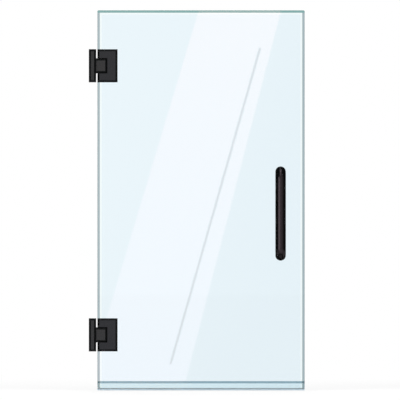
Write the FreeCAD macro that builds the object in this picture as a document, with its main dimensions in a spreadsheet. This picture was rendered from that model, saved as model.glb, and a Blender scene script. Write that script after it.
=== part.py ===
import FreeCAD, Part
import os
import re
import Sketcher

# Frameless glass shower door, left hung on two glass-to-wall hinges.
# Lengths are millimetres and angles degrees. The origin is the middle of the lower hinge's
# wall face: +X runs along the door to the pull, +Y into the shower and +Z up.

SIZES = {
    # the door leaf
    "door_tall": 1826,
    "hinge_inset": 266.5,
    "wall_gap": 41,
    "glass_wide": 996,
    "glass_thick": 10,
    "glass_arris": 1.5,
    "glass_corner": 6,
    # the wall side of a hinge
    "hinge_tall": 159,
    "cover_deep": 35,
    "cover_wide": 64,
    "cover_wall": 9,
    "cover_bevel_wide": 10,
    "cover_bevel_deep": 6.5,
    "slide_fit": 0.3,
    "wall_plate_thick": 10,
    "wall_screw_across": 30,
    "wall_screw_apart": 110,
    "wall_screw_hole": 6.5,
    "wall_screw_head": 12.5,
    # the knuckle and its pin
    "knuckle_thick": 27,
    "knuckle_tall": 73,
    "knuckle_bevel_wide": 11.5,
    "knuckle_bevel_deep": 7,
    "knuckle_off_cover": 1.5,
    "nose_wide": 31.6,
    "knuckle_screw_apart": 36,
    "knuckle_screw_hole": 8.4,
    "knuckle_screw_head": 13.5,
    "knuckle_screw_head_deep": 7,
    "knuckle_screw_tap": 6.8,
    "knuckle_screw_deep": 20,
    "pivot_out": 74,
    "pin_wide": 8,
    "pin_fit": 0.05,
    "pin_grip": 22,
    "pin_edge": 1,
    "washer_wide": 11.6,
    "washer_thick": 1.5,
    "washer_fit": 0.1,
    "washer_play": 0.05,
    "end_gap": 0.15,
    # the clamps on the glass
    "clamp_wide": 96.7,
    "clamp_thick": 7,
    "clamp_bevel_wide": 10,
    "clamp_bevel_deep": 5.5,
    "gasket_thick": 1.5,
    "gasket_inset": 0.8,
    "notch_gap": 1.2,
    "nose_gap": 0.3,
    "cut_over": 10,
    "cut_deep": 54,
    "cut_tall": 128,
    "ear_wide": 19,
    "ear_out": 5,
    "boss_gap": 0.2,
    "boss_margin": 1.2,
    "clamp_screw_hole": 6.5,
    "clamp_screw_head": 12,
    "clamp_screw_tap": 5,
    "clamp_screw_in": 17,
    # the pull
    "pull_from_edge": 115.8,
    "pull_height": 583,
    "pull_apart": 403,
    "pull_wide": 49.5,
    "pull_wall": 2,
    "pull_bend": 35,
    "pull_stand": 65,
    "pull_washer_thick": 1.5,
    "insert_deep": 18,
    "stud_wide": 8,
    "stud_grip": 14,
    "bushing_wide": 12,
    "bushing_fit": 0.1,
    # the sweep
    "sweep_tall": 44,
    "sweep_wall": 1.8,
    "sweep_fit": 0.1,
    "fin_tall": 8,
    "fin_thick": 1.2,
    "fin_spread": 4,
    "fin_foot": 1,
    "lip_tall": 10,
    "lip_out": 0.8,
    "rail_out": 14,
    "rail_drop": 6,
    "rail_thick": 1.6,
}

# What follows from the sizes above. Each line may use the ones before it.
DERIVED = {
    "hinge_spacing": "door_tall - 2 * hinge_inset",
    "door_top": "door_tall - hinge_inset",
    "door_right": "wall_gap + glass_wide",
    "glass_foot": "fin_tall + sweep_wall - hinge_inset",
    "glass_half": "glass_thick / 2",
    "hinge_half": "hinge_tall / 2",
    "cover_flat": "cover_wide / 2 - cover_bevel_deep",
    "cover_room": "cover_wide / 2 - cover_wall",
    "knuckle_half": "knuckle_tall / 2",
    "knuckle_flat": "knuckle_thick / 2 - knuckle_bevel_deep",
    "knuckle_left": "cover_deep + knuckle_off_cover",
    "clamp_seat": "glass_half + gasket_thick",
    "clamp_flat": "clamp_seat + clamp_thick - clamp_bevel_deep",
    "clamp_face": "clamp_seat + clamp_thick",
    "clamp_right": "wall_gap + clamp_wide",
    "nose_right": "pivot_out + nose_wide / 2",
    "notch_half": "knuckle_half + notch_gap",
    "notch_right": "nose_right + notch_gap",
    "cut_right": "wall_gap + cut_deep",
    "cut_half": "cut_tall / 2",
    "ear_x": "cut_right + ear_out",
    "ear_z": "cut_half - ear_wide / 2",
    "boss_left": "wall_gap + boss_margin",
    "boss_right": "cut_right - boss_margin",
    "boss_half": "cut_half - boss_margin",
    "window_half": "knuckle_half + end_gap",
    "washer_seat": "window_half - washer_thick - 2 * washer_play",
    "pin_half": "window_half + pin_grip",
    "edge_screw_x": "wall_gap + clamp_screw_in",
    "pull_x": "door_right - pull_from_edge",
    "pull_foot": "glass_half + pull_washer_thick",
    "pull_rise": "pull_stand - pull_bend",
    "pull_half": "pull_apart / 2",
    "tube_bore": "pull_wide - 2 * pull_wall",
    "sweep_foot": "glass_foot - sweep_wall",
    "sweep_top": "sweep_tall - hinge_inset",
    "sweep_face": "glass_half + sweep_fit + sweep_wall",
}

doc = FreeCAD.newDocument("ShowerDoor")
sheet = doc.addObject("Spreadsheet::Sheet", "Sizes")
parts = []


def fill_sheet():
    """Writes the driving sizes, then the sizes that follow from them."""
    row = 0
    for name, value in SIZES.items():
        row += 1
        sheet.set(f"A{row}", name)
        sheet.set(f"B{row}", str(value))
        sheet.setAlias(f"B{row}", name)
    for name, rule in DERIVED.items():
        row += 1
        sheet.set(f"A{row}", name)
        sheet.set(f"B{row}", "=" + rule)
        sheet.setAlias(f"B{row}", name)
    doc.recompute()


def size(name):
    return float(sheet.get(name))


def cells(rule):
    """Turns a rule such as 'knuckle_half - 2' into one that reads the sheet's cells."""
    def cell(found):
        word = found.group()
        return "Sizes." + word if word in SIZES or word in DERIVED else word

    return re.sub("[a-z_]+", cell, rule)


def bind(thing, prop, rule):
    thing.setExpression(prop, cells(rule))


def new_body(label, height="0"):
    """A piece of its own, moved up by a rule such as the hinge spacing."""
    body = doc.addObject("PartDesign::Body", label)
    body.Label = label
    bind(body, "Placement.Base.z", height)
    parts.append(body)
    return body


def origin_plane(body, role):
    return next(item for item in body.Origin.OriginFeatures if item.Role == role)


def new_sketch(body, name, plane, offset="0"):
    """A sketch on one of the body's own planes, moved along the plane's normal."""
    sketch = body.newObject("Sketcher::SketchObject", name)
    sketch.AttachmentSupport = [(origin_plane(body, plane), "")]
    sketch.MapMode = "FlatFace"
    bind(sketch, "AttachmentOffset.Base.z", offset)
    return sketch


def pin_point(sketch, geometry, end, place):
    """Fixes one point of a sketch by two rules, measured from the sketch's origin."""
    for kind, rule in zip(("DistanceX", "DistanceY"), place):
        value = float(sketch.evalExpression(cells(rule)))
        number = sketch.addConstraint(Sketcher.Constraint(kind, -1, 1, geometry, end, value))
        bind(sketch, f"Constraints[{number}]", rule)


def outline(sketch, places):
    """A closed outline of straight lines through the given places."""
    corners = []
    for place in places:
        across, up = [float(sketch.evalExpression(cells(rule))) for rule in place]
        corners.append(FreeCAD.Vector(across, up, 0))
    count = len(corners)
    first = sketch.GeometryCount
    for index in range(count):
        line = Part.LineSegment(corners[index], corners[(index + 1) % count])
        sketch.addGeometry(line, False)
    for index in range(count):
        follower = first + (index + 1) % count
        sketch.addConstraint(Sketcher.Constraint("Coincident", first + index, 2, follower, 1))
    for index, place in enumerate(places):
        pin_point(sketch, first + index, 1, place)


def rectangle(sketch, left, right, low, high):
    outline(sketch, [(left, low), (right, low), (right, high), (left, high)])


def circles(sketch, wide, places):
    """Equal circles whose diameter and centres are rules."""
    for place in places:
        across, up = [float(sketch.evalExpression(cells(rule))) for rule in place]
        radius = float(sketch.evalExpression(cells(wide))) / 2
        ring = Part.Circle(FreeCAD.Vector(across, up, 0), FreeCAD.Vector(0, 0, 1), radius)
        number = sketch.addGeometry(ring, False)
        limit = sketch.addConstraint(Sketcher.Constraint("Diameter", number, radius * 2))
        bind(sketch, f"Constraints[{limit}]", wide)
        pin_point(sketch, number, 3, place)


def pad(body, sketch, length, both=False, back=False, taper=None):
    """Material from a sketch: along its normal, against it or to both sides."""
    feature = body.newObject("PartDesign::Pad", "Pad")
    feature.Profile = sketch
    feature.SideType = "Symmetric" if both else "One side"
    feature.Reversed = back
    bind(feature, "Length", length)
    if taper:
        bind(feature, "TaperAngle", taper)
    body.Tip = feature
    doc.recompute()
    return feature


def pocket(body, sketch, length=None, both=False, ahead=False):
    """A cut from a sketch: through everything, or so deep to one side or both."""
    feature = body.newObject("PartDesign::Pocket", "Pocket")
    feature.Profile = sketch
    before = body.Shape.Volume
    feature.SideType = "Symmetric" if both or not length else "One side"
    feature.Reversed = ahead
    if length:
        bind(feature, "Length", length)
    else:
        feature.Type = "ThroughAll"
    body.Tip = feature
    doc.recompute()
    if not feature.Shape.Volume < before:
        raise RuntimeError(f"{body.Label}: {sketch.Label} cuts nothing")
    return feature


def groove(body, sketch, angle):
    """A turned cut about the sketch's own upright axis, to both sides of its plane."""
    feature = body.newObject("PartDesign::Groove", "Groove")
    feature.Profile = sketch
    feature.ReferenceAxis = (sketch, ["V_Axis"])
    feature.Angle = angle
    feature.Midplane = True
    before = body.Shape.Volume
    body.Tip = feature
    doc.recompute()
    if not feature.Shape.Volume < before:
        raise RuntimeError(f"{body.Label}: {sketch.Label} turns nothing off")
    return feature


def hole(body, sketch, wide, head=None, sink=True, head_deep=None, deep=None, ahead=False):
    """Drilled holes: plain, countersunk or counterbored, through or blind."""
    feature = body.newObject("PartDesign::Hole", "Hole")
    feature.Profile = sketch
    before = body.Shape.Volume
    doc.recompute()
    feature.ThreadType = "None"
    bind(feature, "Diameter", wide)
    if head:
        feature.HoleCutType = "Countersink" if sink else "Counterbore"
        bind(feature, "HoleCutDiameter", head)
    if head and sink:
        feature.HoleCutCountersinkAngle = 90
    if head_deep:
        bind(feature, "HoleCutDepth", head_deep)
    if deep:
        feature.DepthType = "Dimension"
        feature.DrillPoint = "Angled"
        bind(feature, "Depth", deep)
    else:
        feature.DepthType = "ThroughAll"
    feature.Reversed = ahead
    body.Tip = feature
    doc.recompute()
    if not feature.Shape.Volume < before:
        raise RuntimeError(f"{body.Label}: {sketch.Label} drills nothing")
    return feature


def edges_where(feature, test):
    """Names of the edges whose ends and middle pass a test."""
    found = []
    for number, edge in enumerate(feature.Shape.Edges, 1):
        middle = edge.valueAt((edge.FirstParameter + edge.LastParameter) / 2)
        points = [vertex.Point for vertex in edge.Vertexes] + [middle]
        if all(test(point) for point in points):
            found.append(f"Edge{number}")
    return found


def dress(body, kind, amount_name, amount, names):
    """A fillet or a chamfer on the named edges of the body's last feature."""
    base = body.Tip
    feature = body.newObject("PartDesign::" + kind, kind)
    feature.Base = (base, names)
    bind(feature, amount_name, amount)
    body.Tip = feature
    doc.recompute()
    return feature


def close(first, second):
    return abs(first - second) < 0.001


def bevelled_slab(body, name, left, right, half, sides):
    """Frustums that narrow a slab's outer faces by a bevel on all four edges."""
    for side in sides:
        flat = f"{name}_flat" if side < 0 else f"0 - {name}_flat"
        face = new_sketch(body, "FrontBevel" if side < 0 else "BackBevel", "XZ_Plane", flat)
        rectangle(face, left, right, f"0 - {half}", half)
        slope = f"-atan({name}_bevel_wide / {name}_bevel_deep)"
        pad(body, face, f"{name}_bevel_deep", back=side > 0, taper=slope)


# The glass

def cut_outline(sketch, margin="0"):
    """The hinge cut-out without its ears: square at the edge, open to the door's side."""
    out = "wall_gap - cut_over"
    inner = f"cut_right + {margin}"
    high = f"cut_half + {margin}"
    outline(sketch, [
        (out, f"0 - ({high})"), ("ear_x", f"0 - ({high})"), ("ear_x", "0 - ear_z"),
        (inner, "0 - ear_z"), (inner, "ear_z"), ("ear_x", "ear_z"), ("ear_x", high), (out, high),
    ])


def make_glass():
    body = new_body("glass_panel")
    face = new_sketch(body, "Face", "XZ_Plane")
    rectangle(face, "wall_gap", "door_right", "glass_foot", "door_top")
    slab = pad(body, face, "glass_thick", both=True)
    left, right = size("wall_gap"), size("door_right")
    foot, top = size("glass_foot"), size("door_top")
    half = size("glass_half")

    def at_corner(point):
        return (close(point.x, left) or close(point.x, right)) and (
            close(point.z, foot) or close(point.z, top))

    rounded = dress(body, "Fillet", "Radius", "glass_corner", edges_where(slab, at_corner))
    rims = edges_where(rounded, lambda point: close(abs(point.y), half))
    dress(body, "Chamfer", "Size", "glass_arris", rims)
    for name, height in (("Lower", "0"), ("Upper", "hinge_spacing")):
        straight = new_sketch(body, name + "Cut", "XZ_Plane")
        bind(straight, "AttachmentOffset.Base.y", height)
        cut_outline(straight)
        pocket(body, straight)
        ears = new_sketch(body, name + "Ears", "XZ_Plane")
        bind(ears, "AttachmentOffset.Base.y", height)
        circles(ears, "ear_wide", [("ear_x", "0 - ear_z"), ("ear_x", "ear_z")])
        pocket(body, ears)
    bores = new_sketch(body, "PullHoles", "XZ_Plane")
    low_and_high = [("pull_x", "pull_height - pull_half"), ("pull_x", "pull_height + pull_half")]
    circles(bores, "bushing_wide + 2 * bushing_fit", low_and_high)
    pocket(body, bores)


# The wall side of a hinge

def make_wall_plate(side, height):
    body = new_body(side + "_hinge_wall_plate", height)
    face = new_sketch(body, "WallFace", "YZ_Plane")
    wide = "cover_room - slide_fit"
    tall = "hinge_half - cover_wall - slide_fit"
    rectangle(face, f"0 - ({wide})", wide, f"0 - ({tall})", tall)
    pad(body, face, "wall_plate_thick")
    screws = new_sketch(body, "WallScrews", "YZ_Plane", "wall_plate_thick")
    places = []
    for across in ("0 - wall_screw_across / 2", "wall_screw_across / 2"):
        for up in ("0 - wall_screw_apart / 2", "wall_screw_apart / 2"):
            places.append((across, up))
    circles(screws, "wall_screw_hole", places)
    hole(body, screws, "wall_screw_hole", head="wall_screw_head")
    bolts = new_sketch(body, "KnuckleScrews", "YZ_Plane")
    circles(bolts, "knuckle_screw_hole", knuckle_screws())
    hole(body, bolts, "knuckle_screw_hole", head="knuckle_screw_head", sink=False,
         head_deep="knuckle_screw_head_deep", ahead=True)


def knuckle_screws():
    return [("0", "0 - knuckle_screw_apart / 2"), ("0", "knuckle_screw_apart / 2")]


def make_cover(side, height):
    body = new_body(side + "_hinge_cover", height)
    face = new_sketch(body, "Side", "XZ_Plane")
    rectangle(face, "0", "cover_deep", "0 - hinge_half", "hinge_half")
    pad(body, face, "2 * cover_flat", both=True)
    bevelled_slab(body, "cover", "0", "cover_deep", "hinge_half", (-1, 1))
    room = new_sketch(body, "Room", "YZ_Plane")
    tall = "hinge_half - cover_wall"
    rectangle(room, "0 - cover_room", "cover_room", f"0 - ({tall})", tall)
    pocket(body, room, "cover_deep - cover_wall", ahead=True)
    slot = new_sketch(body, "KnuckleSlot", "YZ_Plane")
    half = "knuckle_flat + slide_fit"
    tall = "knuckle_half + slide_fit"
    rectangle(slot, f"0 - ({half})", half, f"0 - ({tall})", tall)
    pocket(body, slot)


def make_knuckle(side, height):
    """The block that stands off the wall plate: bevelled faces, a nose round about the pivot."""
    body = new_body(side + "_hinge_knuckle", height)
    block = new_sketch(body, "Block", "XZ_Plane")
    rectangle(block, "wall_plate_thick", "nose_right", "0 - knuckle_half", "knuckle_half")
    pad(body, block, "2 * knuckle_flat", both=True)
    under = "knuckle_left - knuckle_bevel_wide"
    bevelled_slab(body, "knuckle", under, "nose_right", "knuckle_half", (-1, 1))
    shoulder = new_sketch(body, "CoverShoulder", "XY_Plane")
    far = "knuckle_thick / 2 + cut_over"
    for near_y, far_y in (("knuckle_flat", far), (f"0 - ({far})", "0 - knuckle_flat")):
        rectangle(shoulder, f"{under} - cut_over", "knuckle_left", near_y, far_y)
    pocket(body, shoulder, "knuckle_tall + cut_over", both=True)
    outside = new_sketch(body, "OutsideNose", "XZ_Plane")
    bind(outside, "AttachmentOffset.Base.x", "pivot_out")
    tall = "knuckle_half + cut_over"
    rectangle(outside, "nose_wide / 2", "nose_wide / 2 + cut_over", f"0 - ({tall})", tall)
    groove(body, outside, 180)
    for name, start, ahead in (("TopSeat", "washer_seat", True), ("FootSeat", "0 - washer_seat", False)):
        seat = new_sketch(body, name, "XY_Plane", start)
        circles(seat, "washer_wide + 2 * washer_fit", [("pivot_out", "0")])
        pocket(body, seat, "knuckle_half", ahead=ahead)
    bore = new_sketch(body, "PinBore", "XY_Plane")
    circles(bore, "pin_wide + 2 * pin_fit", [("pivot_out", "0")])
    pocket(body, bore)
    taps = new_sketch(body, "Taps", "YZ_Plane", "wall_plate_thick")
    circles(taps, "knuckle_screw_tap", knuckle_screws())
    hole(body, taps, "knuckle_screw_tap", deep="knuckle_screw_deep", ahead=True)


def make_pin(side, height):
    body = new_body(side + "_hinge_pin", height)
    round_face = new_sketch(body, "Round", "XY_Plane")
    circles(round_face, "pin_wide", [("pivot_out", "0")])
    rod = pad(body, round_face, "2 * pin_half", both=True)
    ends = edges_where(rod, lambda point: close(abs(point.z), size("pin_half")))
    dress(body, "Chamfer", "Size", "pin_edge", ends)


def make_washers(side, height):
    """The two thrust washers that carry the door on the knuckle."""
    body = new_body(side + "_hinge_washers", height)
    for name, start in (("Top", "washer_seat + washer_play"), ("Foot", "washer_play - window_half")):
        ring = new_sketch(body, name, "XY_Plane", start)
        circles(ring, "washer_wide", [("pivot_out", "0")])
        circles(ring, "pin_wide + 2 * pin_fit", [("pivot_out", "0")])
        pad(body, ring, "washer_thick")


# The glass side of a hinge

def make_clamp(side, height, face_side):
    """One clamp plate with half of the core that fills the glass cut-out and holds the pin."""
    front = face_side < 0
    body = new_body(f"{side}_hinge_{'front' if front else 'back'}_clamp", height)
    seat = "clamp_seat" if front else "0 - clamp_seat"
    plate = new_sketch(body, "Plate", "XZ_Plane", seat)
    rectangle(plate, "wall_gap", "clamp_right", "0 - hinge_half", "hinge_half")
    pad(body, plate, "clamp_thick - clamp_bevel_deep", back=not front)
    bevelled_slab(body, "clamp", "wall_gap", "clamp_right", "hinge_half", (face_side,))
    notch = new_sketch(body, "Notch", "XZ_Plane")
    rectangle(notch, "wall_gap - cut_over", "notch_right", "0 - notch_half", "notch_half")
    pocket(body, notch)
    core = new_sketch(body, "Core", "XZ_Plane", seat)
    rectangle(core, "boss_left", "boss_right", "0 - boss_half", "boss_half")
    pad(body, core, "clamp_seat - boss_gap", back=front)
    room = new_sketch(body, "KnuckleRoom", "XY_Plane")
    rectangle(room, "boss_left - cut_over", "pivot_out", "0 - clamp_face", "clamp_face")
    pocket(body, room, "2 * window_half", both=True)
    saddle = new_sketch(body, "NoseSaddle", "XY_Plane")
    circles(saddle, "nose_wide + 2 * nose_gap", [("pivot_out", "0")])
    pocket(body, saddle, "2 * window_half", both=True)
    pin_room = new_sketch(body, "PinRoom", "XY_Plane")
    circles(pin_room, "pin_wide + 2 * pin_fit", [("pivot_out", "0")])
    pocket(body, pin_room, "2 * (pin_half + slide_fit)", both=True)
    drill_clamp(body, front)


def drill_clamp(body, front):
    places = []
    for across in ("edge_screw_x", "ear_x"):
        for up in ("0 - ear_z", "ear_z"):
            places.append((across, up))
    if front:
        taps = new_sketch(body, "Taps", "XZ_Plane", "boss_gap")
        circles(taps, "clamp_screw_tap", places)
        hole(body, taps, "clamp_screw_tap", deep="clamp_flat - boss_gap", ahead=True)
    else:
        screws = new_sketch(body, "Screws", "XZ_Plane", "0 - clamp_face")
        circles(screws, "clamp_screw_hole", places)
        hole(body, screws, "clamp_screw_hole", head="clamp_screw_head", ahead=True)


def make_gasket(side, height, face_side):
    """The soft pad between a clamp plate and the glass, cut out like the glass."""
    front = face_side < 0
    body = new_body(f"{side}_hinge_{'front' if front else 'back'}_gasket", height)
    sheet_face = new_sketch(body, "Pad", "XZ_Plane", "glass_half" if front else "0 - glass_half")
    edge = "hinge_half - gasket_inset"
    rectangle(sheet_face, "wall_gap + gasket_inset", "clamp_right - gasket_inset",
              f"0 - ({edge})", edge)
    pad(body, sheet_face, "gasket_thick", back=not front)
    straight = new_sketch(body, "Cut", "XZ_Plane")
    cut_outline(straight)
    pocket(body, straight)
    ears = new_sketch(body, "Ears", "XZ_Plane")
    circles(ears, "ear_wide", [("ear_x", "0 - ear_z"), ("ear_x", "ear_z")])
    pocket(body, ears)


# The pull

def pull_path(body, face_side):
    """From one end of the tube out from the glass, along the grip and back."""
    path = new_sketch(body, "Path", "YZ_Plane", "pull_x")
    sign = "-1" if face_side < 0 else "1"
    low, high = "pull_height - pull_half", "pull_height + pull_half"
    foot, rise, stand = [f"{sign} * (glass_half + {step})" for step in
                         ("pull_washer_thick", "pull_rise", "pull_stand")]
    places = [(foot, low), (rise, low), (stand, f"{low} + pull_bend"),
              (stand, f"{high} - pull_bend"), (rise, high), (foot, high)]
    points = []
    for place in places:
        across, up = [float(path.evalExpression(cells(rule))) for rule in place]
        points.append(FreeCAD.Vector(across, up, 0))
    bend = size("pull_bend")
    halfway = bend * (1 - 0.5 ** 0.5)
    outward = -1 if face_side < 0 else 1
    low_middle = FreeCAD.Vector(points[2].x - outward * halfway, points[1].y + halfway, 0)
    high_middle = FreeCAD.Vector(points[3].x - outward * halfway, points[4].y - halfway, 0)
    path.addGeometry(Part.LineSegment(points[0], points[1]), False)
    path.addGeometry(Part.Arc(points[1], low_middle, points[2]), False)
    path.addGeometry(Part.LineSegment(points[2], points[3]), False)
    path.addGeometry(Part.Arc(points[3], high_middle, points[4]), False)
    path.addGeometry(Part.LineSegment(points[4], points[5]), False)
    return path


def make_pull(name, face_side):
    """A bent tube with open ends that stand against the glass."""
    body = new_body(name)
    path = pull_path(body, face_side)
    foot = "pull_foot" if face_side < 0 else "0 - pull_foot"
    round_tube = new_sketch(body, "Tube", "XZ_Plane", foot)
    circles(round_tube, "pull_wide", [("pull_x", "pull_height - pull_half")])
    circles(round_tube, "tube_bore", [("pull_x", "pull_height - pull_half")])
    pipe = body.newObject("PartDesign::AdditivePipe", "Pipe")
    pipe.Profile = round_tube
    pipe.Spine = (path, [])
    body.Tip = pipe
    doc.recompute()


def make_inserts(name, face_side):
    """The plugs pressed into the tube's ends, tapped for the studs."""
    body = new_body(name)
    foot = "pull_foot" if face_side < 0 else "0 - pull_foot"
    plugs = new_sketch(body, "Plugs", "XZ_Plane", foot)
    for place in pull_places():
        circles(plugs, "tube_bore - 2 * bushing_fit", [place])
        circles(plugs, "stud_wide", [place])
    pad(body, plugs, "insert_deep", back=face_side > 0)


def pull_places():
    return [("pull_x", "pull_height - pull_half"), ("pull_x", "pull_height + pull_half")]


def make_pull_washers(name, face_side):
    body = new_body(name)
    rings = new_sketch(body, "Rings", "XZ_Plane", "glass_half" if face_side < 0 else "0 - glass_half")
    for place in pull_places():
        circles(rings, "pull_wide", [place])
        circles(rings, "stud_wide + 2 * bushing_fit", [place])
    pad(body, rings, "pull_washer_thick", back=face_side > 0)


def make_studs():
    body = new_body("pull_studs")
    rods = new_sketch(body, "Rods", "XZ_Plane")
    circles(rods, "stud_wide", pull_places())
    pad(body, rods, "2 * (pull_foot + stud_grip)", both=True)


def make_bushings():
    body = new_body("pull_bushings")
    sleeves = new_sketch(body, "Sleeves", "XZ_Plane")
    for place in pull_places():
        circles(sleeves, "bushing_wide", [place])
        circles(sleeves, "stud_wide + 2 * bushing_fit", [place])
    pad(body, sleeves, "glass_thick", both=True)


# The sweep

def make_sweep_channel():
    """A clear strip: two legs grip the glass, a web closes them, a rail throws drips back."""
    body = new_body("sweep_channel")
    section = new_sketch(body, "Section", "YZ_Plane", "wall_gap")
    inner = "glass_half + sweep_fit"
    outline(section, [
        ("0 - sweep_face", "sweep_foot"),
        ("sweep_face", "sweep_foot"),
        ("sweep_face + rail_out", "sweep_foot - rail_drop"),
        ("sweep_face + rail_out", "sweep_foot - rail_drop + rail_thick"),
        ("sweep_face", "sweep_foot + rail_thick"),
        ("sweep_face", "sweep_top - lip_tall"),
        ("sweep_face + lip_out", "sweep_top - lip_tall + lip_out"),
        ("sweep_face + lip_out", "sweep_top - lip_out"),
        ("sweep_face", "sweep_top"),
        (inner, "sweep_top"),
        (inner, "glass_foot"),
        (f"0 - ({inner})", "glass_foot"),
        (f"0 - ({inner})", "sweep_top"),
        ("0 - sweep_face", "sweep_top"),
        ("0 - sweep_face - lip_out", "sweep_top - lip_out"),
        ("0 - sweep_face - lip_out", "sweep_top - lip_tall + lip_out"),
        ("0 - sweep_face", "sweep_top - lip_tall"),
    ])
    pad(body, section, "glass_wide")


def make_sweep_fins():
    """Two soft fins that splay out from a shared foot under the web."""
    body = new_body("sweep_fins")
    section = new_sketch(body, "Section", "YZ_Plane", "wall_gap")
    tip = "0 - hinge_inset"
    foot = "sweep_foot - fin_foot"
    outline(section, [
        ("0 - fin_spread", "sweep_foot"),
        ("0 - fin_spread - fin_thick", tip),
        ("0 - fin_spread", tip),
        ("fin_thick - fin_spread", foot),
        ("fin_spread - fin_thick", foot),
        ("fin_spread", tip),
        ("fin_spread + fin_thick", tip),
        ("fin_spread", "sweep_foot"),
    ])
    pad(body, section, "glass_wide")


def make_hinge(side, height):
    make_wall_plate(side, height)
    make_cover(side, height)
    make_knuckle(side, height)
    make_pin(side, height)
    make_washers(side, height)
    for face_side in (-1, 1):
        make_clamp(side, height, face_side)
        make_gasket(side, height, face_side)


def check_and_write():
    """Every object is sound, and every piece is a valid solid, before any file is written."""
    for item in doc.Objects:
        if "Invalid" in item.State or "Error" in item.State:
            raise RuntimeError(f"{item.Label} failed: {item.State}")
    for body in parts:
        if body.Shape.isNull() or not body.Shape.isValid() or not body.Shape.Solids:
            raise RuntimeError(f"{body.Label} has no valid solid")
    os.makedirs("parts", exist_ok=True)
    for body in parts:
        body.Shape.exportStep(f"parts/{body.Label}.step")
        print(body.Label, len(body.Shape.Solids), round(body.Shape.Volume, 1))


fill_sheet()
make_glass()
make_hinge("lower", "0")
make_hinge("upper", "hinge_spacing")
for word, which in (("front", -1), ("back", 1)):
    make_pull(f"pull_{word}", which)
    make_inserts(f"pull_{word}_inserts", which)
    make_pull_washers(f"pull_{word}_washers", which)
make_studs()
make_bushings()
make_sweep_channel()
make_sweep_fins()
doc.recompute()
check_and_write()
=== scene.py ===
import bpy
import bmesh
import math
from mathutils import Matrix, Vector


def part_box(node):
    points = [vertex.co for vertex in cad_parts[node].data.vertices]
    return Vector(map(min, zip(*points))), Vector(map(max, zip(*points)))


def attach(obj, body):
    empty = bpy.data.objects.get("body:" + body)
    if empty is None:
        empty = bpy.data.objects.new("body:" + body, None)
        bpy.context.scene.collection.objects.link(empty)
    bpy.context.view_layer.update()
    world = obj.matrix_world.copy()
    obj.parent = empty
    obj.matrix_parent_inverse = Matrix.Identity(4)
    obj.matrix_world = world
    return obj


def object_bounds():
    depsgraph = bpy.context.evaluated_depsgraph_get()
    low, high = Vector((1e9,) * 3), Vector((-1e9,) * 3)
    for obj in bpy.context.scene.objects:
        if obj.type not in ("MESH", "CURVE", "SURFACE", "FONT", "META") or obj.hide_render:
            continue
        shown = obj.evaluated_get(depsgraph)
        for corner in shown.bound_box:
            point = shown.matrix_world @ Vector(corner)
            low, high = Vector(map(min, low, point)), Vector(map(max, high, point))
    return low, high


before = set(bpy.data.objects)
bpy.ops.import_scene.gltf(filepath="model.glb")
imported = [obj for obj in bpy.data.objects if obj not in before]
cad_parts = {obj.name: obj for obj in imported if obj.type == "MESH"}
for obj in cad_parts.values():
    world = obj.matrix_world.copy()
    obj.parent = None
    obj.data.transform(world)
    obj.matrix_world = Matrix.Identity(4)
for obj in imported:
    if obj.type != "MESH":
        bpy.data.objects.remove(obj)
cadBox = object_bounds()
print("frame loaded:", len(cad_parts), "nodes")

mm = 0.001


# Shader sums. A Wire is one output socket, and a Graph is the node tree that it belongs to.

class Wire:
    def __init__(self, graph, socket):
        self.graph = graph
        self.socket = socket

    def calc(self, operation, first, second):
        return self.graph.add("ShaderNodeMath", {"operation": operation}, {0: first, 1: second})

    def __add__(self, other):
        return self.calc("ADD", self, other)

    def __radd__(self, other):
        return self.calc("ADD", other, self)

    def __sub__(self, other):
        return self.calc("SUBTRACT", self, other)

    def __rsub__(self, other):
        return self.calc("SUBTRACT", other, self)

    def __mul__(self, other):
        return self.calc("MULTIPLY", self, other)

    def __rmul__(self, other):
        return self.calc("MULTIPLY", other, self)

    def __abs__(self):
        return self.calc("ABSOLUTE", self, 0.0)

    def lowest(self, other):
        return self.calc("MINIMUM", self, other)


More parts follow.
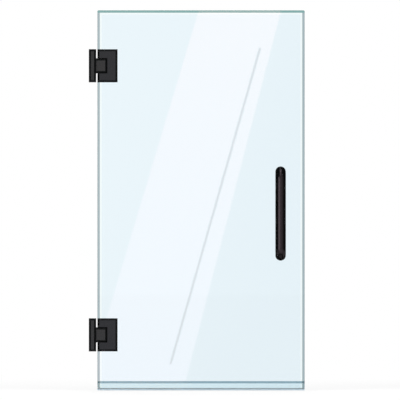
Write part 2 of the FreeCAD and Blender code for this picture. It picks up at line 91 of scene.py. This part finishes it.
class Graph:
    def __init__(self, tree):
        self.tree = tree
        tree.nodes.clear()

    def add(self, kind, settings=None, inputs=None, output=0):
        # any node: its settings come first, then its sockets, by name or by number
        node = self.tree.nodes.new(kind)
        for name, value in (settings or {}).items():
            setattr(node, name, value)
        for name, value in (inputs or {}).items():
            if isinstance(value, Wire):
                self.tree.links.new(value.socket, node.inputs[name])
            else:
                node.inputs[name].default_value = value
        if len(node.outputs) == 0:   # the end of a material or a world
            return None
        return Wire(self, node.outputs[output])

    def place(self, kind="Object"):
        # three values: where a point lies in the frame's own metres, or a direction in the world
        spot = self.add("ShaderNodeTexCoord", output=kind)
        return [self.add("ShaderNodeSeparateXYZ", None, {0: spot}, axis) for axis in range(3)]

    def ray(self, kind):
        return self.add("ShaderNodeLightPath", output=kind)

    def step(self, value, low, high, start=0.0, end=1.0):
        # an eased step from start to end while value goes from low to high
        settings = {"interpolation_type": "SMOOTHSTEP"}
        inputs = {"Value": value, "From Min": low, "From Max": high, "To Min": start, "To Max": end}
        return self.add("ShaderNodeMapRange", settings, inputs)

    def fade(self, value, low, high, start=1.0):
        # an eased step down to nothing
        return self.step(value, low, high, start, 0.0)

    def noise(self, size, detail, stretch=(1.0, 1.0, 1.0)):
        # cloudy noise from 0 to 1 whose blotches are about this many metres across
        spot = self.add("ShaderNodeTexCoord", output="Object")
        grown = self.add("ShaderNodeVectorMath", {"operation": "MULTIPLY"}, {0: spot, 1: stretch})
        inputs = {"Vector": grown, "Scale": 1.0 / size, "Detail": detail}
        return self.add("ShaderNodeTexNoise", None, inputs)

    def blend(self, factor, first, second):
        # sockets 6 and 7 of a Mix node are its colours, and output 2 is their blend
        return self.add("ShaderNodeMix", {"data_type": "RGBA"}, {0: factor, 6: first, 7: second}, 2)

    def mixShader(self, factor, first, second):
        return self.add("ShaderNodeMixShader", None, {0: factor, 1: first, 2: second})

    def bump(self, height, strength, depth):
        inputs = {"Height": height, "Strength": strength, "Distance": depth}
        return self.add("ShaderNodeBump", None, inputs)

    def glow(self, light):
        return self.add("ShaderNodeEmission", None, {"Color": light, "Strength": 1.0})


white = (1.0, 1.0, 1.0, 1.0)
black = (0.0, 0.0, 0.0, 1.0)
screenCurve = {"full": 255, "straightTo": 0.04045, "straight": 12.92, "shift": 0.055, "power": 2.4}


def colour(red, green, blue):
    # a colour written as 0 to 255 screen values, turned into the linear values that shaders take
    linear = []
    for level in (red, green, blue):
        share = level / screenCurve["full"]
        if share <= screenCurve["straightTo"]:
            linear.append(share / screenCurve["straight"])
        else:
            raised = (share + screenCurve["shift"]) / (1 + screenCurve["shift"])
            linear.append(raised ** screenCurve["power"])
    return (*linear, 1.0)


def newMaterial(name):
    material = bpy.data.materials.new(name)
    material.use_nodes = True
    return material, Graph(material.node_tree)


def surface(graph, inputs, volume=None):
    ends = {"Surface": graph.add("ShaderNodeBsdfPrincipled", None, inputs)}
    if volume:
        ends["Volume"] = volume
    graph.add("ShaderNodeOutputMaterial", None, ends)


# Clear tempered glass: a faint blue tint and a greener depth, with painted shade as a darker band round
# the polished rim, standing in for the light the rim refracts, a painted highlight as a pale line inside
# that band, and a slightly bluer foot where the sweep grips it

glassLook = {
    "tint": colour(238, 247, 253),
    "seat": colour(239, 249, 255),
    "seatTall": 34.2 * mm,
    "seatSoft": 0.4 * mm,
    "sideRimPaintedShade": colour(168, 182, 187),
    "topRimPaintedShade": colour(128, 171, 169),
    "paleHighlightLine": colour(248, 254, 255),
    "rimWide": 12.5 * mm,
    "rimSoft": 2 * mm,
    "lineWide": 21 * mm,
    "smearSize": 120 * mm,
    "smearDetail": 4.0,
    "smearRough": 0.012,
    "depth": (0.20, 0.76, 0.68, 1.0),
    "depthDensity": 5.0,
    "ior": 1.52,
}


def makeGlass():
    material, graph = newMaterial("clearGlass")
    low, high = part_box("glass_panel")
    x, y, z = graph.place()
    fromSide = (x - low[0]).lowest(high[0] - x)
    fromTop = high[2] - z
    fromFoot = z - low[2]

    def within(distance, wide, soft):
        return graph.fade(distance, wide - soft, wide)

    # from the clear glass outwards, each over the last: foot, pale line (painted highlight), side rims
    # and top rim (painted shade)
    soft = glassLook["rimSoft"]
    seat = within(fromFoot, glassLook["seatTall"], glassLook["seatSoft"])
    line = within(fromSide.lowest(fromTop), glassLook["lineWide"], soft)
    clear = graph.blend(seat, glassLook["tint"], glassLook["seat"])
    pane = graph.blend(line, clear, glassLook["paleHighlightLine"])
    sides = graph.blend(within(fromSide, glassLook["rimWide"], soft), pane, glassLook["sideRimPaintedShade"])
    whole = graph.blend(within(fromTop, glassLook["rimWide"], soft), sides, glassLook["topRimPaintedShade"])
    smear = graph.noise(glassLook["smearSize"], glassLook["smearDetail"])
    depth = {"Color": glassLook["depth"], "Density": glassLook["depthDensity"]}
    surface(graph, {
        "Base Color": whole,
        "Roughness": smear * glassLook["smearRough"],
        "IOR": glassLook["ior"],
        "Transmission Weight": 1.0,
    }, graph.add("ShaderNodeVolumeAbsorption", None, depth))
    return material


# Matte black powder coat: a fine orange peel and slight changes of sheen

coatLook = {
    # the sheen that each coat throws back
    "matteBlack": (0.69, 0.72, 0.72, 1.0),
    "matteBlackClamp": (0.56, 0.60, 0.64, 1.0),
    "matteBlackPull": (0.70, 0.55, 0.62, 1.0),
    "dark": colour(4, 4, 5),
    "light": colour(9, 10, 10),
    "cloudSize": 22 * mm,
    "roughness": 0.24,
    "roughnessSpread": 0.08,
    "peelSize": 0.9 * mm,
    "peelStrength": 0.5,
    "peelDepth": 0.014 * mm,
    "detail": 3.0,
    # a finer grain on the peel, as shares of the peel's size and height
    "grainSize": 0.3,
    "grainHeight": 0.4,
    "grainDetail": 1.0,
}


def makeCoat(name):
    material, graph = newMaterial(name)
    cloud = graph.noise(coatLook["cloudSize"], coatLook["detail"])
    peel = graph.noise(coatLook["peelSize"], coatLook["detail"])
    grain = graph.noise(coatLook["peelSize"] * coatLook["grainSize"], coatLook["grainDetail"])
    height = peel + grain * coatLook["grainHeight"]
    surface(graph, {
        "Base Color": graph.blend(cloud, coatLook["dark"], coatLook["light"]),
        "Specular Tint": coatLook[name],
        "Roughness": coatLook["roughness"] + (cloud - 0.5) * coatLook["roughnessSpread"],
        "Normal": graph.bump(height, coatLook["peelStrength"], coatLook["peelDepth"]),
    })
    return material


# Satin steel of the pins, inserts and studs, brushed up and down

steelLook = {
    "dark": (0.36, 0.36, 0.37, 1.0), "light": (0.56, 0.56, 0.57, 1.0), "metallic": 1.0,
    "roughness": 0.28, "roughnessSpread": 0.14,
    "lineSize": 0.5 * mm, "lineDetail": 3.0, "lineStretch": (1.0, 1.0, 0.08),
    "lineStrength": 0.25, "lineDepth": 0.01 * mm,
}

# Black oxide of the socket screws

oxideLook = {
    "dark": (0.010, 0.010, 0.011, 1.0), "light": (0.028, 0.028, 0.030, 1.0), "metallic": 0.6,
    "roughness": 0.32, "roughnessSpread": 0.16,
    "lineSize": 1.6 * mm, "lineDetail": 3.0, "lineStretch": (1.0, 1.0, 1.0),
    "lineStrength": 0.3, "lineDepth": 0.02 * mm,
}

# Soft black gaskets and washers, and the harder nylon of the thrust washers and bushings

rubberLook = {
    "dark": (0.008, 0.008, 0.009, 1.0), "light": (0.020, 0.020, 0.021, 1.0), "metallic": 0.0,
    "roughness": 0.55, "roughnessSpread": 0.15,
    "lineSize": 3 * mm, "lineDetail": 4.0, "lineStretch": (1.0, 1.0, 1.0),
    "lineStrength": 0.4, "lineDepth": 0.05 * mm,
}
nylonLook = {**rubberLook, "roughness": 0.35}


def makePlain(name, look):
    # one noise gives the colour, the sheen and the grain
    material, graph = newMaterial(name)
    lines = graph.noise(look["lineSize"], look["lineDetail"], look["lineStretch"])
    surface(graph, {
        "Base Color": graph.blend(lines, look["dark"], look["light"]),
        "Metallic": look["metallic"],
        "Roughness": look["roughness"] + lines * look["roughnessSpread"],
        "Normal": graph.bump(lines, look["lineStrength"], look["lineDepth"]),
    })
    return material


# The clear sweep: faintly tinted legs, painted shade as a darker band at their top standing in for the
# lip's edge refraction, and faint lines from the extruder along the strip

sweepLook = {
    "tint": colour(250, 255, 255),
    "paintedLipShade": colour(203, 217, 222),
    "lipTall": 11.5 * mm,
    "lipSoft": 1.5 * mm,
    "sheen": (0.9, 0.7, 0.2, 1.0),
    "roughness": 0.02,
    "roughnessSpread": 0.04,
    "ior": 1.33,
    "drawSize": 4 * mm,
    "drawDetail": 2.0,
    "drawStretch": (0.02, 1.0, 1.0),
    "drawStrength": 0.06,
    "drawDepth": 0.02 * mm,
}


def makeSweep():
    material, graph = newMaterial("clearVinyl")
    low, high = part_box("sweep_channel")
    x, y, z = graph.place()
    fromTop = high[2] - z
    tall = sweepLook["lipTall"]
    # painted shade: the top of the sweep is darker, standing in for the lip bead's edge refraction
    paintedLipShade = graph.fade(fromTop, tall - sweepLook["lipSoft"], tall)
    draw = graph.noise(sweepLook["drawSize"], sweepLook["drawDetail"], sweepLook["drawStretch"])
    surface(graph, {
        "Base Color": graph.blend(paintedLipShade, sweepLook["tint"], sweepLook["paintedLipShade"]),
        "Roughness": sweepLook["roughness"] + draw * sweepLook["roughnessSpread"],
        "Specular Tint": sweepLook["sheen"],
        "IOR": sweepLook["ior"],
        "Transmission Weight": 1.0,
        "Normal": graph.bump(draw, sweepLook["drawStrength"], sweepLook["drawDepth"]),
    })
    return material


# Its soft milky wiper fins

wiperLook = {
    "dark": colour(224, 240, 250),
    "light": colour(238, 250, 255),
    "roughness": 0.25,
    "roughnessSpread": 0.15,
    "ior": 1.45,
    "clear": 0.8,
    "drawSize": 3 * mm,
    "drawDetail": 2.0,
    "drawStretch": (0.02, 1.0, 1.0),
    "drawStrength": 0.2,
    "drawDepth": 0.03 * mm,
}


def makeWiper():
    material, graph = newMaterial("softVinyl")
    draw = graph.noise(wiperLook["drawSize"], wiperLook["drawDetail"], wiperLook["drawStretch"])
    surface(graph, {
        "Base Color": graph.blend(draw, wiperLook["dark"], wiperLook["light"]),
        "Roughness": wiperLook["roughness"] + draw * wiperLook["roughnessSpread"],
        "IOR": wiperLook["ior"],
        "Transmission Weight": wiperLook["clear"],
        "Normal": graph.bump(draw, wiperLook["drawStrength"], wiperLook["drawDepth"]),
    })
    return material


def dress(node, material):
    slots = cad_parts[node].data.materials
    if len(slots) == 0:
        slots.append(material)
    for index in range(len(slots)):
        slots[index] = material


def dressAll():
    coat = makeCoat("matteBlack")
    pullCoat = makeCoat("matteBlackPull")
    finishes = {
        "glass_panel": makeGlass(),
        "sweep_channel": makeSweep(),
        "sweep_fins": makeWiper(),
        "pull_front": pullCoat,
        "pull_back": pullCoat,
    }
    steel = makePlain("satinSteel", steelLook)
    rubber = makePlain("blackRubber", rubberLook)
    nylon = makePlain("blackNylon", nylonLook)
    endings = {
        "clamp": makeCoat("matteBlackClamp"),
        "hinge_pin": steel, "inserts": steel, "studs": steel,
        "gasket": rubber, "pull_front_washers": rubber, "pull_back_washers": rubber,
        "hinge_washers": nylon, "bushings": nylon,
    }
    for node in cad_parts:
        finish = finishes.get(node)
        for ending, material in endings.items():
            if node.endswith(ending):
                finish = material
        dress(node, finish or coat)
    print("materials on", len(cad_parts), "nodes")


# Socket screws, turned as rings of points about their own axis, head outwards along +Z

clampScrew = {
    "head": 11.4 * mm, "headTall": 3.0 * mm, "sunk": True, "shank": 5.8 * mm, "length": 11.5 * mm,
    "socket": 4 * mm, "socketDeep": 2.4 * mm, "edge": 0.25 * mm,
    "fromPlateLeft": 17 * mm, "fromPlateRight": 37.7 * mm, "fromMiddle": 54.5 * mm, "below": 0.35 * mm,
}
knuckleScrew = {
    "head": 13 * mm, "headTall": 6.6 * mm, "sunk": False, "shank": 6.4 * mm, "length": 24 * mm,
    "socket": 6 * mm, "socketDeep": 3.6 * mm, "edge": 0.4 * mm,
    "fromMiddle": 18 * mm, "below": 0.3 * mm,
}
ringPoints = 24
hexSide = math.pi / 3


def ringOf(radiusAt, height):
    ring = []
    for index in range(ringPoints):
        turn = 2 * math.pi * index / ringPoints
        radius = radiusAt(turn)
        ring.append(Vector((radius * math.cos(turn), radius * math.sin(turn), height)))
    return ring


def circleRing(radius, height):
    return ringOf(lambda turn: radius, height)


def hexRing(flat, height):
    # six flats, each half the width across flats from the axis
    return ringOf(lambda turn: flat / 2 / math.cos((turn + hexSide / 2) % hexSide - hexSide / 2), height)


def addRings(mesh, rings, matrix):
    made = []
    for ring in rings:
        made.append([mesh.verts.new(matrix @ point) for point in ring])
    for lower, upper in zip(made, made[1:]):
        for index in range(ringPoints):
            after = (index + 1) % ringPoints
            mesh.faces.new((lower[index], lower[after], upper[after], upper[index]))
    mesh.faces.new(list(reversed(made[0])))
    mesh.faces.new(made[-1])


def screwRings(screw):
    # from the tip up the shank, over the head and down into the socket
    head = screw["head"] / 2
    shank = screw["shank"] / 2
    edge = screw["edge"]
    rings = [
        circleRing(shank - edge, -screw["length"]),
        circleRing(shank, edge - screw["length"]),
        circleRing(shank, -screw["headTall"]),
    ]
    if not screw["sunk"]:
        rings.append(circleRing(head, -screw["headTall"]))
    rings += [
        circleRing(head, -edge),
        circleRing(head - edge, 0),
        hexRing(screw["socket"] + edge, 0),
        hexRing(screw["socket"], -edge),
        hexRing(screw["socket"], -screw["socketDeep"]),
    ]
    return rings


def makeScrews(name, screw, spots, facing, body, material):
    # spots are the middles of the heads, which all face the same way
    mesh = bmesh.new()
    turn = Vector(facing).to_track_quat("Z", "Y").to_matrix().to_4x4()
    for spot in spots:
        addRings(mesh, screwRings(screw), Matrix.Translation(spot) @ turn)
    bmesh.ops.recalc_face_normals(mesh, faces=mesh.faces)
    data = bpy.data.meshes.new(name)
    mesh.to_mesh(data)
    mesh.free()
    data.materials.append(material)
    piece = bpy.data.objects.new(name, data)
    bpy.context.collection.objects.link(piece)
    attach(piece, body)


def makeHingeScrews(side, material):
    low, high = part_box(side + "_hinge_back_clamp")
    middle = (low[2] + high[2]) / 2
    columns = (low[0] + clampScrew["fromPlateLeft"], high[0] - clampScrew["fromPlateRight"])
    spots = []
    for x in columns:
        for up in (-1, 1):
            height = middle + up * clampScrew["fromMiddle"]
            spots.append((x, high[1] - clampScrew["below"], height))
    makeScrews(side + "_clamp_screws", clampScrew, spots, (0, 1, 0), "door", material)
    spots = []
    for up in (-1, 1):
        spots.append((knuckleScrew["below"], 0, middle + up * knuckleScrew["fromMiddle"]))
    makeScrews(side + "_knuckle_screws", knuckleScrew, spots, (-1, 0, 0), "wall_side", material)


# Camera. The photo's frame is 400 pixels square, and pixel is the size of one at the door.

view = {
    "target": (0.534, 0.0, 0.648), "distance": 40.0, "lens": 749.0, "sensor": 36.0, "farClip": 200.0,
    "middlePixel": 200, "pixel": 4.807 * mm,
}


def makeCamera():
    data = bpy.data.cameras.new("camera")
    data.lens = view["lens"]
    data.sensor_width = view["sensor"]
    data.clip_end = view["farClip"]
    camera = bpy.data.objects.new("camera", data)
    bpy.context.collection.objects.link(camera)
    x, y, z = view["target"]
    camera.location = (x, y - view["distance"], z)
    camera.rotation_euler = (math.pi / 2, 0, 0)
    bpy.context.scene.camera = camera


def makeQuad(name, corners, material):
    # a single face for the studio round the door
    data = bpy.data.meshes.new(name)
    data.from_pydata(corners, [], [(0, 1, 2, 3)])
    data.materials.append(material)
    quad = bpy.data.objects.new(name, data)
    bpy.context.collection.objects.link(quad)
    return quad


def throughGlass(graph):
    # 1 for what is seen straight through glass, and 1 for what is mirrored through it
    through = graph.ray("Is Transmission Ray")
    mirrors = graph.ray("Glossy Depth").lowest(1.0)
    return through * (1 - mirrors), through * mirrors


# The floor looks white, with a quarter of the door's shadow near it that fades out further away. Where
# glass mirrors it, it is black but for a narrow lane under the door.

floorLook = {
    "below": 2 * mm, "half": 40.0, "chalk": (0.86, 0.86, 0.86, 1.0),
    "near": 1.2, "far": 3.0, "shadowShare": 0.25,
    "dimFrom": 50 * mm, "dimTo": 200 * mm,
}


def makeFloor():
    material, graph = newMaterial("paleFloor")
    x, y, z = graph.place()
    aside = x - view["target"][0]
    away = graph.add("ShaderNodeMath", {"operation": "SQRT"}, {0: aside * aside + y * y})
    share = graph.fade(away, floorLook["near"], floorLook["far"], floorLook["shadowShare"])
    straight, mirrored = throughGlass(graph)
    seen = (graph.ray("Is Camera Ray") + straight).lowest(1.0)
    chalk = graph.add("ShaderNodeBsdfDiffuse", None, {"Color": floorLook["chalk"]})
    behind = graph.step(abs(y), floorLook["dimFrom"], floorLook["dimTo"])
    shown = graph.mixShader(share, graph.glow(white), chalk)
    lit = graph.mixShader(seen, chalk, shown)
    whole = graph.mixShader(mirrored * behind, lit, graph.glow(black))
    graph.add("ShaderNodeOutputMaterial", None, {"Surface": whole})
    half = floorLook["half"]
    height = cadBox[0][2] - floorLook["below"]
    corners = [(-half, -half, height), (half, -half, height),
               (half, half, height), (-half, half, height)]
    floor = makeQuad("floor", corners, material)
    floor.visible_glossy = False


# The world is plain white to the camera and through glass. The metal mirrors a softer one: a wide light
# ahead with a brighter middle and one behind, both held back on the hinge side by a black flag, then a
# lit table ahead and far below, a broad low light all round under level, and a bright patch ahead on
# the hinge side. All edges are parts of a direction of length 1.

worldLook = {
    "wideLight": 0.72, "wideFrom": 0.35, "wideTo": 0.90, "side": 0.01,
    "midLight": 0.60, "midFrom": 0.93, "midTo": 0.995,
    "backLight": 1.0, "backFrom": 0.50, "backTo": 0.95,
    "flag": 0.05, "flagFrom": -0.80, "flagTo": -0.30,
    "table": 0.9, "tableFrom": -1.0, "tableTo": -0.86, "tableBack": -0.10, "tableFront": 0.15,
    "low": 0.65, "lowTop": -0.10, "lowFull": -0.35, "lowFade": -0.68, "lowFoot": -0.82,
    "patch": 3.5, "patchMiddle": -0.60, "patchHalf": 0.22, "patchTall": 0.26, "patchSoft": 0.08,
    # what the glass mirrors through itself, and the even light on dull surfaces
    "pastGlass": 0.35, "ambient": 0.45,
}


def makeWorld():
    look = worldLook
    world = bpy.data.worlds.new("studio")
    bpy.context.scene.world = world
    world.use_nodes = True
    graph = Graph(world.node_tree)
    x, y, z = graph.place("Generated")
    forward = 0 - y
    wide = graph.step(forward, look["wideFrom"], look["wideTo"], look["side"], look["wideLight"])
    middle = graph.step(forward, look["midFrom"], look["midTo"], 0.0, look["midLight"])
    back = graph.step(y, look["backFrom"], look["backTo"], 0.0, look["backLight"])
    flag = graph.step(x, look["flagFrom"], look["flagTo"], look["flag"], 1.0)
    under = graph.fade(z, look["tableFrom"], look["tableTo"], look["table"])
    table = under * graph.step(forward, look["tableBack"], look["tableFront"])
    below = graph.fade(z, look["lowFull"], look["lowTop"], look["low"])
    low = below * graph.step(z, look["lowFoot"], look["lowFade"])
    half, tall, edge = look["patchHalf"], look["patchTall"], look["patchSoft"]
    across = graph.fade(abs(x - look["patchMiddle"]), half - edge, half)
    upright = graph.fade(abs(z), tall - edge, tall, look["patch"])
    patch = across * upright * graph.step(forward, 0.0, edge)
    straight, past = throughGlass(graph)
    seen = graph.ray("Is Camera Ray") + straight
    clear = graph.ray("Is Glossy Ray") * (1 - straight - past)
    ahead = graph.step(forward, look["wideFrom"], look["wideTo"], 0.0, look["pastGlass"])
    mirrored = clear * ((wide + middle + back) * flag + table + low + patch) + past * ahead
    soft = graph.ray("Is Diffuse Ray") * look["ambient"]
    light = seen + mirrored + soft
    sky = graph.add("ShaderNodeBackground", None, {"Color": white, "Strength": light})
    graph.add("ShaderNodeOutputWorld", None, {"Surface": sky})


# The studio card in front of the door, which only mirrors show: cooler to the right, with a slanted pale
# band and a thin dark gap in it. Its edges are columns at the top row and the foot row of the photo, in
# pixels, and are carried out to the card. The gap's dark core is painted reflection: a thin grey line
# behind the door, seen only through glass.

cardLook = {
    "before": 14.0, "half": 330, "topRow": 20.0, "footRow": 380.0, "soft": 1.5,
    "leftLight": (1.57, 1.57, 1.57, 1.0), "rightLight": (0.70, 0.82, 0.94, 1.0),
    "lean": 0.4, "leftEnd": 150, "rightEnd": 420,
    "bandLeft": (196.0, 88.0), "bandRight": (278.6, 186.0),
    "bandHigh": (3.6, 2.4, 2.3, 1.0), "bandLow": (2.6, 2.1, 2.4, 1.0),
    "gap": (268.0, 166.0), "gapHalf": 1.0, "gapSoft": 0.8, "gapRows": (48.0, 364.0),
}
lineLook = {"behind": 6.0, "half": 0.85, "light": (0.94, 0.90, 0.905, 1.0)}


def pixelAt(past):
    # the size of a photo pixel on a plane this far past the door, or mirrored as far in front of it
    return view["pixel"] * (view["distance"] + past) / view["distance"]


def slant(ends, down):
    top, foot = ends
    return top + down * (foot - top)


def makeCard():
    pixel = pixelAt(cardLook["before"])
    middle, door, height = view["target"]
    soft = cardLook["soft"]
    material, graph = newMaterial("studioCard")
    x, y, z = graph.place()
    column = (x - middle) * (1 / pixel) + view["middlePixel"]
    row = view["middlePixel"] - (z - height) * (1 / pixel)
    down = (row - cardLook["topRow"]) * (1 / (cardLook["footRow"] - cardLook["topRow"]))
    left = column - slant(cardLook["bandLeft"], down)
    right = column - slant(cardLook["bandRight"], down)
    gap = abs(column - slant(cardLook["gap"], down))
    band = graph.step(left, -soft, soft) * graph.fade(right, -soft, soft)
    first, last = cardLook["gapRows"]
    inRows = graph.step(row, first - soft, first + soft) * graph.fade(row, last - soft, last + soft)
    inGap = graph.fade(gap, cardLook["gapHalf"], cardLook["gapHalf"] + cardLook["gapSoft"]) * inRows
    slope = graph.step(column + row * cardLook["lean"], cardLook["leftEnd"], cardLook["rightEnd"])
    plain = graph.blend(slope, cardLook["leftLight"], cardLook["rightLight"])
    pale = graph.blend(down, cardLook["bandHigh"], cardLook["bandLow"])
    light = graph.blend(band, plain, pale)
    shown = graph.glow(graph.blend(inGap, light, black))
    graph.add("ShaderNodeOutputMaterial", None, {"Surface": shown})
    half = cardLook["half"] * pixel
    far = door - cardLook["before"]
    corners = [(middle - half, far, height - half), (middle + half, far, height - half),
               (middle + half, far, height + half), (middle - half, far, height + half)]
    card = makeQuad("card", corners, material)
    card.visible_camera = False
    card.visible_diffuse = False
    card.visible_transmission = False
    card.visible_shadow = False


def makeLine():
    # a painted reflection line: a grey strip that only what looks through glass sees
    pixel = pixelAt(lineLook["behind"])
    middle, door, height = view["target"]
    corners = []
    for row, sides in zip(cardLook["gapRows"], ((-1, 1), (1, -1))):
        down = (row - cardLook["topRow"]) / (cardLook["footRow"] - cardLook["topRow"])
        for side in sides:
            right = slant(cardLook["gap"], down) + side * lineLook["half"] - view["middlePixel"]
            up = view["middlePixel"] - row
            corners.append((middle + right * pixel, door + lineLook["behind"], height + up * pixel))
    material, graph = newMaterial("paintedReflectionLine")
    graph.add("ShaderNodeOutputMaterial", None, {"Surface": graph.glow(lineLook["light"])})
    line = makeQuad("line", corners, material)
    line.visible_camera = False
    line.visible_diffuse = False
    line.visible_glossy = False
    line.visible_shadow = False


lamps = {
    # name: place, width, height, power, and whether metal mirrors it
    "keyLamp": ((-2.6, -3.4, 3.6), 2.0, 2.0, 150.0, False),
    "fillLamp": ((3.6, -2.8, 2.6), 2.4, 2.4, 90.0, False),
    "backLamp": ((0.5, 3.2, 3.4), 2.4, 1.6, 70.0, False),
    "overhead": ((0.84, -0.55, 2.9), 1.0, 0.8, 9.5, True),
    "overFront": ((0.85, -1.70, 2.6), 1.0, 1.4, 8.0, True),
}


def makeLamps():
    for name, (place, wide, tall, power, mirrored) in lamps.items():
        data = bpy.data.lights.new(name, "AREA")
        data.shape = "RECTANGLE"
        data.size = wide
        data.size_y = tall
        data.energy = power
        lamp = bpy.data.objects.new(name, data)
        bpy.context.collection.objects.link(lamp)
        lamp.location = place
        aim = Vector(view["target"]) - Vector(place)
        lamp.rotation_euler = aim.to_track_quat("-Z", "Y").to_euler()
        lamp.visible_camera = False
        lamp.visible_transmission = False
        lamp.visible_glossy = mirrored


bpy.context.scene.view_settings.view_transform = "Standard"
makeCamera()
makeFloor()
makeWorld()
makeCard()
makeLine()
makeLamps()
print("stage, lamps and camera set")
dressAll()
oxide = makePlain("blackOxide", oxideLook)
for side in ("lower", "upper"):
    makeHingeScrews(side, oxide)
print("screws made")
